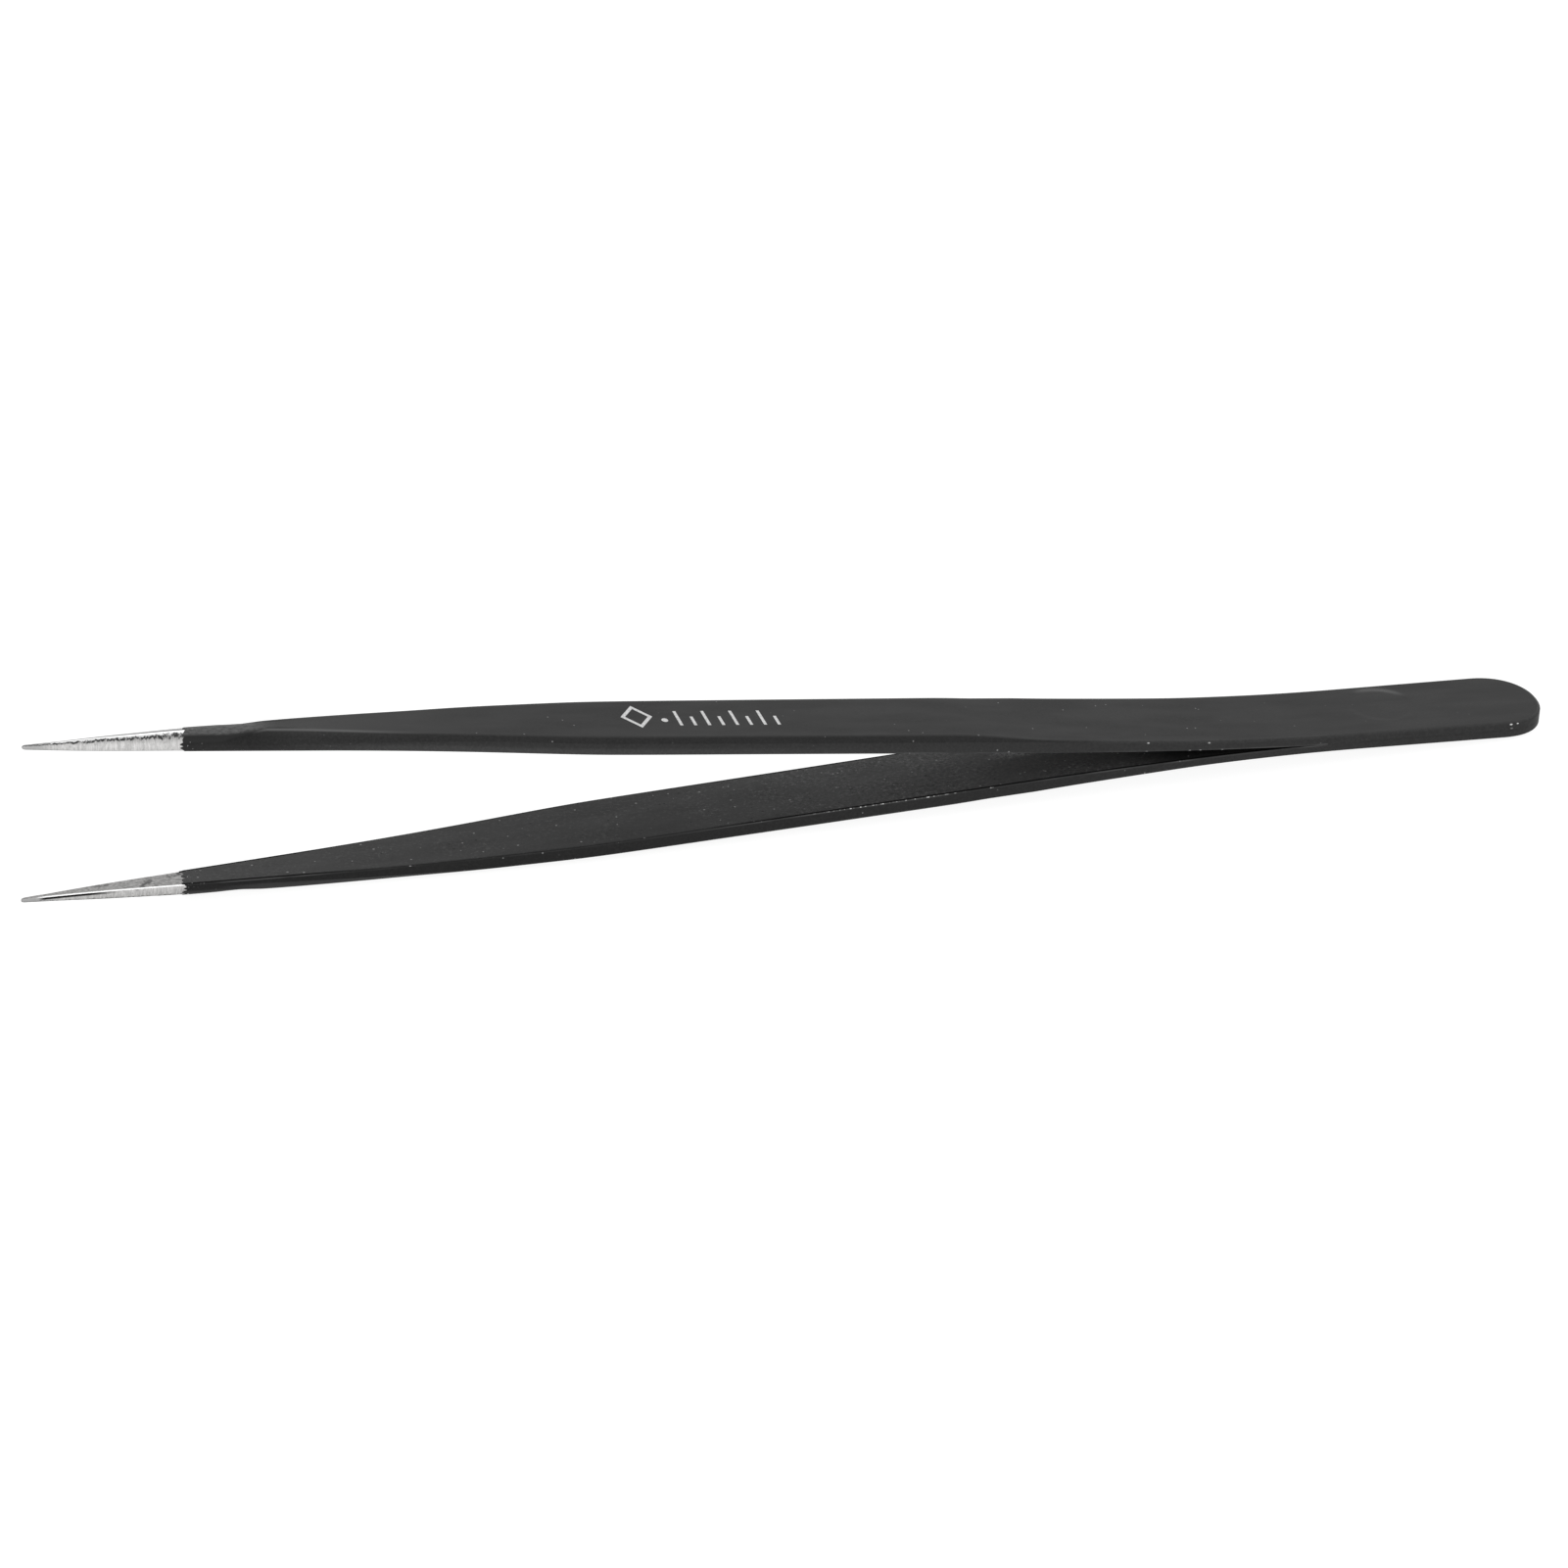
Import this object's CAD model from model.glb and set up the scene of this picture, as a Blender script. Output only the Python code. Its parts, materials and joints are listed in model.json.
"""Precision tweezers lying on a pale table: the finished look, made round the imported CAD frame.

Lengths are millimetres in the tool's own frame until a mesh is made. There +X runs from the
points to the heel, +Y across the width and +Z from the lower arm to the upper one. A place along
the tool is a station: its distance from the points. Both arms have one shape, and the lower one
is turned half round the tool's long axis.
"""

import json
import math

import bpy
import numpy as np
from mathutils import Matrix, Vector


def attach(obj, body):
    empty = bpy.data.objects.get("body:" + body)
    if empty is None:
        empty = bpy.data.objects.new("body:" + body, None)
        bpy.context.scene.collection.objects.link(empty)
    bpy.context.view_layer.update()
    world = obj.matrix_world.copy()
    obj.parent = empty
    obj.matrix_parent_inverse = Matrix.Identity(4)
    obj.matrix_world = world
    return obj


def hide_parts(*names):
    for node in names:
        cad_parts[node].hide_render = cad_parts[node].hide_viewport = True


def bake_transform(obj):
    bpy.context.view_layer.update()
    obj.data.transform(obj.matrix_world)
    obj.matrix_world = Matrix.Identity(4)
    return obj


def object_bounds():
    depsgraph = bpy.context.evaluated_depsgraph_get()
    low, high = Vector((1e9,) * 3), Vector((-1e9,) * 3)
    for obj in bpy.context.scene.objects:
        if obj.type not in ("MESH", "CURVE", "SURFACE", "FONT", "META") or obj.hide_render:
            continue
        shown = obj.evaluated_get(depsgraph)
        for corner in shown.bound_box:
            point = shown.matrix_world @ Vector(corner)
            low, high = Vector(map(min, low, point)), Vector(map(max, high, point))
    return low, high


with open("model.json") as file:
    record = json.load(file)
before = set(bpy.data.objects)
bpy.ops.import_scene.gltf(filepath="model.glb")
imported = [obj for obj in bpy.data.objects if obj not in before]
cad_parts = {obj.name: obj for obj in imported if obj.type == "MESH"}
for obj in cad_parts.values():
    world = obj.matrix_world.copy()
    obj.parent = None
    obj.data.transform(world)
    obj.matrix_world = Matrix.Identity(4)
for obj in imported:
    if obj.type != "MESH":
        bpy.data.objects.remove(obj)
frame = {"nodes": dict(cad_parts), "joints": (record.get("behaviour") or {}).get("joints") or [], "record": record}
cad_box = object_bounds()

METRES = 0.001  # one millimetre

# ---------------------------------------------------------------- the arm's dimensions

LENGTH = 140
HALF_LENGTH = LENGTH / 2
PIVOT_STATION = 107
SEAM_GAP = 0.03

CAD_COATING = 0.06
COATING = 0.055  # a hair thinner than in the CAD, so that the rounder shape stays inside its box
COATING_LIFT = 0.004  # between the steel and the coating's hidden inner side
COATING_START = 14
COATING_SEAM = 118  # where the two arms' coatings run together into one

TIP_HALF_WIDTH = 0.13
TAPER = 0.0797
SHOULDER = 50
SHOULDER_HALF_WIDTH = 4.11
SHOULDER_SOFTNESS = 0.2
HEEL_HALF_WIDTH = 4.7
HEEL_ROUND_CENTRE = LENGTH - CAD_COATING - HEEL_HALF_WIDTH
HEEL_SQUARENESS = 2.2
HEEL_REACH = 0.996  # the CAD's faceted end is that much shorter than the full curve

ARM_SLOPE = [(0, 0.076), (10, 0.038), (25, 0.041), (42, 0.0746), (90, 0.0768), (106, 0.052), (122, 0)]
THICKNESS = [
    (0, 0.38), (7, 1.05), (14, 1.46), (23, 1.53), (34, 1.35), (48, 1.4),
    (84, 1.45), (90, 1.14), (93, 1.06), (98, 0.965), (106, 0.79), (116, 0.73), (LENGTH, 0.73),
]
SIDE_HEIGHT = [(0, 0.09), (15, 0.15), (21, 0.41), (35, 0.86), (40, 1.025), (LENGTH, 1.025)]

ROUND_BACK_END = 17
FLAT_BACK_START = 21
BEVEL_RISE = 0.57
FULL_BEVEL = 0.62
WIDE_BEVEL_GAIN = 0.47
LEAST_DROP = 0.1
WIDEST_BEVEL = 0.8

EASE = 1.6  # the profiles' corners are rounded over this distance each way
NOSE = 0.3  # length of the rounded nose at the very point
NOSE_LEAST = 0.34  # share of the full section that the nose's front face keeps

INNER_CORNER = 0.1  # rounding of the long edges
SHOULDER_CORNER = 0.09
CROWN_CORNER = 0.17
FLAT_SHARE = 0.3  # the most of a flat that a rounding takes up
WALL_SHARE = 0.45  # the same where the inner corner meets the side wall
CLOSED_CORNER = 0.012  # what is left of the inner corners where the coatings run together
CORNERS_CLOSE = (110, 117)
CLOSED_SEAM = 0.002  # height of the coating's inner side over the weld plane once it has closed

NUGGET_RADIUS = 2
NUGGET_HALF_HEIGHT = 0.4
NUGGET_POCKET = 0.3  # how much wider than the nugget its hidden pocket is
NUGGET_CLEARANCE = 0.03
NUGGETS = [(125, 0.8), (131, 0)]

DIMPLE_RADIUS = 3.3  # the press mark that spot welding leaves over the front weld
DIMPLE_WALL = 0.6
DIMPLE_DEPTH = 0.03
SEAM_GROOVE_DEPTH = 0.014
SEAM_GROOVE_HALF_WIDTH = 0.05
SEAM_GROOVE_END = 122

# Points round half of a section: the inner face, its corner, the side wall, the shoulder, the
# bevel, the crown and the back's flat.
INNER_STEPS, CORNER_STEPS, SIDE_STEPS, SHOULDER_STEPS = 12, 5, 6, 4
BEVEL_STEPS, CROWN_STEPS, BACK_STEPS = 5, 5, 24
HOLD = 0.03  # a flat's last point lies this close to the rounding beside it


def along(pairs, station):
    """Value at a station, read from (station, value) pairs joined by straight lines."""
    return np.interp(station, [pair[0] for pair in pairs], [pair[1] for pair in pairs])


def eased(pairs, station):
    """The same, with the corners between the straight lines rounded off."""
    reach = np.minimum(EASE, station)
    shifts = np.linspace(-1, 1, 9)
    return sum(along(pairs, station + reach * shift) for shift in shifts) / len(shifts)


def smoothstep(low, high, value):
    share = np.clip((value - low) / (high - low), 0, 1)
    return share * share * (3 - 2 * share)


def inner_height(station):
    """Height of the steel's inner face over the weld plane: the slope summed up from the heel."""
    height = np.full(np.shape(station), SEAM_GAP / 2)
    for (start, _), (end, end_slope) in zip(ARM_SLOPE, ARM_SLOPE[1:]):
        low = np.clip(station, start, end)
        height = height + (end - low) * (along(ARM_SLOPE, low) + end_slope) / 2
    return height


def half_width(station, grow):
    """Half-width of the outline up to the heel's rounded end, grown by the same amount all round."""
    taper = TIP_HALF_WIDTH + TAPER * station
    widening = (HEEL_HALF_WIDTH - SHOULDER_HALF_WIDTH) / (HEEL_ROUND_CENTRE - SHOULDER)
    body = SHOULDER_HALF_WIDTH + widening * (station - SHOULDER)
    return (taper + body - np.hypot(taper - body, SHOULDER_SOFTNESS)) / 2 + grow


def bevel_width(drop):
    full_drop = FULL_BEVEL * BEVEL_RISE
    wide = FULL_BEVEL + WIDE_BEVEL_GAIN * (drop - full_drop)
    return np.where(drop < full_drop, drop / BEVEL_RISE, wide)


def rounded(corner, before, after, steps):
    """Points of a small rounding at a corner, from one neighbour point to the other."""
    shares = np.arange(1, steps + 1) / steps
    return [
        (1 - t) ** 2 * before + 2 * t * (1 - t) * corner + t * t * after
        for t in shares
    ]


def flat_shares(steps, hold_start, hold_end):
    """Even shares of a flat, with its end points held close to the roundings beside it."""
    inside = np.linspace(0, 1, steps + 1)[1:]
    shares = list(inside)
    if hold_start:
        shares[0] = HOLD
    if hold_end:
        shares[-2] = 1 - HOLD
    return shares


def half_section(station, grow):
    """Half of the upper arm's cross-section at each station, from the middle of the inner face
    round one side to the middle of the back, as an array of (station, point, (y, z))."""
    station = np.asarray(station, float)
    width = half_width(station, grow)
    inner = inner_height(station) - grow
    steel = eased(THICKNESS, station)
    side = np.minimum(eased(SIDE_HEIGHT, station), steel - LEAST_DROP)
    back = inner_height(station) + steel + grow
    shoulder = inner_height(station) + side + grow * math.tan(math.atan(BEVEL_RISE) / 2)
    bevel = np.minimum(bevel_width(back - shoulder), WIDEST_BEVEL * width)
    if grow > COATING_LIFT:
        inner = np.maximum(inner, CLOSED_SEAM)
        closing = smoothstep(*CORNERS_CLOSE, station)
    else:
        closing = 0 * station

    def at(y, z):
        return np.stack([y, z], axis=-1)

    # No rounding takes up more than a share of the flats beside it.
    lip = INNER_CORNER + (CLOSED_CORNER - INNER_CORNER) * closing
    lip = np.minimum(np.minimum(lip, FLAT_SHARE * width), WALL_SHARE * (shoulder - inner))
    edge = np.minimum(SHOULDER_CORNER, FLAT_SHARE * (shoulder - inner))
    crown_reach = np.minimum(CROWN_CORNER, FLAT_SHARE * np.minimum(bevel, width - bevel))
    slope = np.hypot(bevel, back - shoulder)
    toward_crown = at(-bevel / slope, (back - shoulder) / slope)
    reach = np.minimum(edge, FLAT_SHARE * slope)[..., None]

    inner_middle = at(0 * width, inner)
    inner_end = at(width - lip, inner)
    inner_corner = at(width, inner)
    wall_start = at(width, inner + lip)
    wall_end = at(width, shoulder - edge)
    shoulder_corner = at(width, shoulder)
    bevel_start = shoulder_corner + reach * toward_crown
    crown_corner = at(width - bevel, back)
    bevel_end = crown_corner - crown_reach[..., None] * toward_crown
    back_start = at(width - bevel - crown_reach, back)
    back_middle = at(0 * width, back)

    def flat(start, end, steps, hold_start=False, hold_end=False):
        return [start + t * (end - start) for t in flat_shares(steps, hold_start, hold_end)]

    lower = [inner_middle]
    lower += flat(inner_middle, inner_end, INNER_STEPS, hold_end=True)
    lower += rounded(inner_corner, inner_end, wall_start, CORNER_STEPS)
    lower += flat(wall_start, wall_end, SIDE_STEPS, hold_start=True, hold_end=True)
    upper = rounded(shoulder_corner, wall_end, bevel_start, SHOULDER_STEPS)
    upper += flat(bevel_start, bevel_end, BEVEL_STEPS, hold_start=True, hold_end=True)
    upper += rounded(crown_corner, bevel_end, back_start, CROWN_STEPS)
    upper += flat(back_start, back_middle, BACK_STEPS, hold_start=True)

    # In front the back is half an ellipse, which turns into the flat with its bevels.
    flatness = np.clip((station - ROUND_BACK_END) / (FLAT_BACK_START - ROUND_BACK_END), 0, 1)
    foot = wall_end[..., 1]
    rounded_back = []
    for step, point in enumerate(upper, 1):
        angle = math.pi / 2 * step / len(upper)
        ellipse = at(width * math.cos(angle), foot + (back - foot) * math.sin(angle))
        rounded_back.append(ellipse + flatness[..., None] * (point - ellipse))
    return np.stack(lower + rounded_back, axis=1)


BACK_START = 1 + INNER_STEPS + CORNER_STEPS + SIDE_STEPS  # the first point after the side wall
HALF_COUNT = BACK_START + SHOULDER_STEPS + BEVEL_STEPS + CROWN_STEPS + BACK_STEPS


def closed_ring(half):
    """A half section and its mirror image as one ring of points."""
    mirrored = half[:, -2:0:-1] * np.array([-1, 1])
    return np.concatenate([half, mirrored], axis=1)


def mirrored_values(half):
    """Values at the points of half a ring, repeated for its other half."""
    return np.concatenate([half, half[-2:0:-1]])


# Each ring point's number from the middle of the inner face, its share of the way from there to
# the middle of the back, and its share of the back from the shoulder, negative on other faces.
RING_PLACE = mirrored_values(np.arange(HALF_COUNT))
AROUND = RING_PLACE / (HALF_COUNT - 1)
BACK_SHARE = (RING_PLACE - BACK_START + 1) / (HALF_COUNT - BACK_START)


def swept_heel(ring, x, steps):
    """Sections round the heel's end: the last ring turned about the upright axis of its centre."""
    centre = x[-1]
    last = ring[-1]
    rows, places = [], []
    for step in range(1, steps + 1):
        angle = math.pi / 2 * step / steps
        out = HEEL_REACH * math.sin(angle) ** (2 / HEEL_SQUARENESS)
        over = max(math.cos(angle), 0) ** (2 / HEEL_SQUARENESS) if step < steps else 0
        rows.append(last * np.array([over, 1]))
        places.append(centre + np.abs(last[:, 0]) * out)
    return np.array(rows), np.array(places)


def dimple(station, across, centre_across):
    """Depth of the weld's press mark at a place on the back."""
    distance = np.hypot(station - NUGGETS[0][0], across - centre_across)
    return DIMPLE_DEPTH * (1 - smoothstep(DIMPLE_RADIUS - DIMPLE_WALL, DIMPLE_RADIUS, distance))


def pocket(station, across, turned):
    """Height of the hidden pockets over the weld plane that leave room for the weld nuggets."""
    height = 0 * station
    for nugget_station, offset in NUGGETS:
        middle = -offset if turned else offset
        share = np.hypot(station - nugget_station, across - middle) / (NUGGET_RADIUS + NUGGET_POCKET)
        dome = (NUGGET_HALF_HEIGHT + 2 * NUGGET_CLEARANCE) * np.sqrt(np.clip(1 - share**2, 0, 1))
        height = np.maximum(height, dome)
    return height


def arm_surface(stations, grow, turned, heel_steps=0):
    """Closed rings of the arm's surface as points (row, ring point, (x, y, z)), x being the station."""
    half = half_section(stations, grow)
    ring = closed_ring(half)
    x = np.repeat(np.asarray(stations, float)[:, None], ring.shape[1], axis=1)
    if heel_steps:
        heel_rows, heel_x = swept_heel(ring, x, heel_steps)
        ring = np.concatenate([ring, heel_rows])
        x = np.concatenate([x, heel_x])
    points = np.concatenate([x[..., None], ring], axis=2)
    on_back = RING_PLACE >= BACK_START
    offset = -NUGGETS[0][1] if turned else NUGGETS[0][1]
    points[..., 2] -= on_back * dimple(points[..., 0], points[..., 1], offset)
    return points


# ---------------------------------------------------------------- small seeded variations


KNOTS = 4096  # more than any curve needs


def wander(seed, wavelength):
    """A smooth seeded curve over a length in millimetres, from -1 to 1."""
    source = np.random.RandomState(seed)
    knots = source.uniform(-1, 1, KNOTS)

    def value(place):
        place = np.asarray(place, float) / wavelength
        low = np.floor(place).astype(int)
        share = place - low
        share = share * share * (3 - 2 * share)
        return knots[low % KNOTS] * (1 - share) + knots[(low + 1) % KNOTS] * share

    return value


# ---------------------------------------------------------------- meshes

SHARP_ANGLE = math.radians(42)

top_mount = next(m for m in frame["record"]["mounts"] if m["name"] == "heel_upper_face")
tilt = math.atan2(top_mount["axis"][0], top_mount["axis"][2])
pivots = [Vector(joint["pos_m"]) for joint in frame["joints"]]
pivot_middle = sum(pivots, Vector()) / len(pivots)
turn = Matrix.Rotation(tilt, 4, "Y")
tool_pivot = Vector(((PIVOT_STATION - HALF_LENGTH) * METRES, 0, 0))
tool_to_frame = Matrix.Translation(pivot_middle - turn @ tool_pivot) @ turn


def to_frame(points, turned=False):
    """Points given by station, y and z in millimetres, as metres in the row frame."""
    local = np.array(points, float).reshape(-1, 3)
    local[:, 0] -= HALF_LENGTH
    if turned:
        local[:, 1:] *= -1
    matrix = np.array(tool_to_frame)
    return local * METRES @ matrix[:3, :3].T + matrix[:3, 3]


def frame_point(station, y=0, z=0):
    return Vector(to_frame([(station, y, z)])[0])


def bridge(first, second, flip=False):
    """Quads between two rings of vertex numbers."""
    after_first, after_second = np.roll(first, -1), np.roll(second, -1)
    quads = np.stack([first, after_first, after_second, second], axis=1)
    return quads[:, ::-1] if flip else quads


def merged(points, faces):
    """Points that coincide become one, and the faces that collapse are dropped."""
    keys = np.round(points, 6)
    _, index, inverse = np.unique(keys, axis=0, return_index=True, return_inverse=True)
    inverse = inverse.reshape(-1)
    kept = []
    for face in faces:
        corners = []
        for corner in inverse[np.asarray(face)]:
            if corner not in corners:
                corners.append(int(corner))
        if len(corners) > 2:
            kept.append(corners)
    return index, kept


def added(name, data):
    """A new object, linked into the scene."""
    piece = bpy.data.objects.new(name, data)
    bpy.context.scene.collection.objects.link(piece)
    return piece


def make_mesh(name, points, faces, values, turned=False):
    """A smooth closed mesh from points in station, y, z, with float attributes by name."""
    index, faces = merged(points, faces)
    mesh = bpy.data.meshes.new(name)
    mesh.from_pydata([tuple(p) for p in to_frame(points[index], turned)], [], faces)
    mesh.validate()
    mesh.update()
    mesh.shade_smooth()
    mesh.set_sharp_from_angle(angle=SHARP_ANGLE)
    spot = mesh.attributes.new("spot", "FLOAT_VECTOR", "POINT")
    spot.data.foreach_set("vector", points[index].astype(np.float32).ravel())
    for key, value in values.items():
        attribute = mesh.attributes.new(key, "FLOAT", "POINT")
        attribute.data.foreach_set("value", value[index].astype(np.float32))
    return added(name, mesh)


def loft(name, surface, values, turned=False, open_end=True):
    """A solid through the rings of a surface, with a flat cap on each open end."""
    rows, count = surface.shape[:2]
    numbers = np.arange(rows * count).reshape(rows, count)
    faces = [quad for row in range(rows - 1) for quad in bridge(numbers[row], numbers[row + 1])]
    faces.append(numbers[0][::-1])
    if open_end:
        faces.append(numbers[-1])
    flat_values = {key: value.reshape(-1) for key, value in values.items()}
    return make_mesh(name, surface.reshape(-1, 3), faces, flat_values, turned)


def shell(name, outside, inside, values, turned=False, open_end=True):
    """A thin closed shell between an outer and an inner surface with the same rings."""
    rows, count = outside.shape[:2]
    outer = np.arange(rows * count).reshape(rows, count)
    inner = outer + rows * count
    faces = [quad for row in range(rows - 1) for quad in bridge(outer[row], outer[row + 1])]
    faces += [quad for row in range(rows - 1) for quad in bridge(inner[row], inner[row + 1], flip=True)]
    faces += list(bridge(outer[0], inner[0], flip=True))
    if open_end:
        faces += list(bridge(outer[-1], inner[-1]))
    points = np.concatenate([outside.reshape(-1, 3), inside.reshape(-1, 3)])
    flat_values = {key: np.tile(value.reshape(-1), 2) for key, value in values.items()}
    return make_mesh(name, points, faces, flat_values, turned)


# ---------------------------------------------------------------- the pieces


def steps_between(*stretches):
    """Stations of consecutive stretches, each (start, end, step)."""
    stations = []
    for start, end, step in stretches:
        count = max(1, round((end - start) / step))
        stations += list(np.linspace(start, end, count, endpoint=False))
    return stations + [stretches[-1][1]]


def nosed(points):
    """The very point, rounded: the first sections shrink towards their middle."""
    station = points[:, 0, 0]
    share = np.clip(station / NOSE, 0, 1)
    size = NOSE_LEAST + (1 - NOSE_LEAST) * np.sqrt(1 - (1 - share) ** 2)
    middle = (points[..., 2].max(axis=1) + points[..., 2].min(axis=1)) / 2
    points[..., 1] *= size[:, None]
    points[..., 2] = middle[:, None] + (points[..., 2] - middle[:, None]) * size[:, None]
    return points


def corner_mask(middle, reach):
    """1 at a place round each half of the ring, counted in points, fading to 0 beside it."""
    return mirrored_values(np.exp(-(((np.arange(HALF_COUNT) - middle) / reach) ** 2)))


CROWN_REACH = 2.2  # in ring points
CROWN_EDGE = corner_mask(HALF_COUNT - 1 - BACK_STEPS - CROWN_STEPS / 2, CROWN_REACH)
ON_BEVEL = smoothstep(0, 0.1, BACK_SHARE) * (1 - smoothstep(0.3, 0.36, BACK_SHARE))


def from_edge(points, grow):
    """Distance from the long inner edge: over the inner face negative, up the side wall positive."""
    station, across, height = points[..., 0], np.abs(points[..., 1]), points[..., 2]
    inset = half_width(station, grow) - across
    rise = height - inner_height(station) + grow
    return np.where(RING_PLACE <= INNER_STEPS + 1, -inset, rise)


THIN_START, THIN_START_BEHIND = 0.61, 0.36  # where it begins round the back, in front and behind
THIN_END = (19.5, 22.5)


def thin_front(station):
    """How thin the coating is over the rounded front of the back, at each point."""
    start = THIN_START + (THIN_START_BEHIND - THIN_START) * smoothstep(15.5, 21, station)
    return smoothstep(start - 0.06, start + 0.12, BACK_SHARE) * (1 - smoothstep(*THIN_END, station))


RIDGE_PLACE = 0.65  # share of the way round the back, from the shoulder, of the ground ridge
RIDGE_HEIGHT = 0.012
RIDGE_REACH = 0.05
RIDGE_START, RIDGE_END = (0, 2), (16, 18)


def arm_steel(name, turned, seed):
    stations = steps_between((0, NOSE, 0.03), (NOSE, 16.5, 0.11), (16.5, HEEL_ROUND_CENTRE, 1.5))
    points = arm_surface(stations, 0, turned, heel_steps=14)
    lifted = pocket(points[..., 0], points[..., 1], turned)
    inner = RING_PLACE <= INNER_STEPS
    points[..., 2] = np.where(inner, np.maximum(points[..., 2], lifted), points[..., 2])
    edge = from_edge(points, 0)
    points = nosed(points)

    # The ground ridge is a shallow groove that wanders a little.
    first_half = np.arange(points.shape[1]) < HALF_COUNT
    along_arm = points[:, 0, 0]
    jag = wander(seed, 0.22)(along_arm)[:, None] * 0.045
    jag = jag + wander(seed + 1, 0.9)(along_arm)[:, None] * 0.03
    place = BACK_SHARE[None, :] - RIDGE_PLACE - np.where(first_half, jag, -jag)
    ridge = np.exp(-((place / RIDGE_REACH) ** 2)) * smoothstep(*RIDGE_START, points[..., 0])
    ridge *= 1 - smoothstep(*RIDGE_END, points[..., 0])
    points[..., 2] -= RIDGE_HEIGHT * ridge
    values = {
        "around": np.broadcast_to(AROUND, points.shape[:2]),
        "back": np.broadcast_to(BACK_SHARE, points.shape[:2]),
        "edge": edge,
    }
    return loft(name, points, values, turned, open_end=False)


RAGGED_REACH = 1.2  # how far back the uneven front edge disturbs the coating
RAGGED_SIZE = 0.38


def ragged_start(points, seed, lean):
    """Moves the front rows along the tool, so that the coating ends in an uneven line."""
    ring = points[0]
    steps = np.linalg.norm(np.diff(ring, axis=0, append=ring[:1]), axis=1)
    place = np.cumsum(steps) - steps[0]
    line = wander(seed, 0.17)(place) * 0.6 + wander(seed + 1, 0.6)(place) * 0.5
    shift = RAGGED_SIZE * line + lean[0] + lean[1] * ring[:, 1] / ring[:, 1].max()
    fade = 1 - smoothstep(COATING_START, COATING_START + RAGGED_REACH, points[:, :1, 0])
    return shift[None, :] * fade


# How light the coating's side walls and bevels are against the rest, by station.
HEEL_BEVEL = 1.35
ARCH_DARKER = 0.24  # the rounded front's upper side is that much darker
UPPER_WALL = [(20, 0.8), (26, 1.15), (30, 1.38), (36, 1.5), (56, 1.45), (75, 1.1), (90, 1)]
UPPER_BEVEL = [(26, 1), (40, 0.95), (60, 0.87), (91, 0.85), (94, 1), (97.5, HEEL_BEVEL)]
LOWER_WALL = [(25, 0.56), (36, 0.6), (44, 0.61), (63, 0.69), (82, 0.77), (100, 0.85), (117, 1)]


def wall_tone(points, turned):
    """How light the coating is at each point of an arm: 1 but for the side walls and bevels."""
    station, height = points[..., 0], points[..., 2] - inner_height(points[..., 0])
    wall = smoothstep(INNER_STEPS, INNER_STEPS + 2, RING_PLACE)
    if turned:
        return 1 + wall * (along(LOWER_WALL, station) - 1)
    low_part = 1 - smoothstep(0.35, 0.75, height)
    front = 1 - smoothstep(22, 26, station)
    turning = 1 - smoothstep(0.54, 0.66, BACK_SHARE)
    reach = wall * np.maximum(low_part, front * turning)
    arch = front * turning * smoothstep(0.12, 0.34, BACK_SHARE)
    tone = along(UPPER_WALL, station) - ARCH_DARKER * arch
    return 1 + reach * (tone - 1) + ON_BEVEL * (along(UPPER_BEVEL, station) - 1)


# The rubbed edges of the back: where they begin, and where most of the wear is gone again.
CROWN_BEGINS, CROWN_FADES, CROWN_LOSS = (19.5, 21.5), (27, 36), 0.85
RIM_REACH = 1.4  # chips in the coating lie this close to its front edge


def arm_coating(name, turned, seed, lean):
    stations = steps_between(
        (COATING_START, 17, 0.16), (17, 26, 0.35), (26, 96, 0.8), (96, COATING_SEAM, 0.5)
    )
    outside = arm_surface(stations, COATING, turned)
    inside = arm_surface(stations, COATING_LIFT, turned)
    shift = ragged_start(outside, seed, lean)
    outside = shifted(outside, shift, COATING, turned)
    inside = shifted(inside, shift, COATING_LIFT, turned)
    station = outside[..., 0]
    crown = CROWN_EDGE * smoothstep(*CROWN_BEGINS, station)
    crown = crown * (1 - CROWN_LOSS * smoothstep(*CROWN_FADES, station))
    values = {
        "around": np.broadcast_to(AROUND, outside.shape[:2]),
        "edge": from_edge(outside, COATING),
        "crown": crown,
        "tone": wall_tone(outside, turned),
        "thin": thin_front(station),
        "rim": 1 - smoothstep(0, RIM_REACH, station - outside[:1, :, 0]),
        "rub": np.zeros(outside.shape[:2]),
    }
    return shell(name, outside, inside, values, turned)


def shifted(points, shift, grow, turned):
    """Slides points along the arm, and keeps them on its surface."""
    moved = points.copy()
    moving = np.abs(shift).max(axis=1) > 1e-9
    for row in np.nonzero(moving)[0]:
        stations = points[row, :, 0] + shift[row]
        surface = arm_surface(stations, grow, turned)
        ring = np.arange(points.shape[1])
        moved[row] = surface[ring, ring]
    return moved


def cup_ring(half):
    """A ring round both arms: the near side from the weld plane up over the back, and so on round."""
    upper = np.concatenate([half, half[:, -2::-1] * np.array([-1, 1])], axis=1)
    lower = upper[:, ::-1] * np.array([1, -1])
    return np.concatenate([upper, lower], axis=1)


def cup_values(ring_values):
    """Values round an arm's ring, rearranged for the ring round both arms."""
    half = ring_values[INNER_STEPS + CORNER_STEPS - 1:HALF_COUNT]
    upper = np.concatenate([half, half[-2::-1]])
    return np.concatenate([upper, upper[::-1]])


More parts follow.
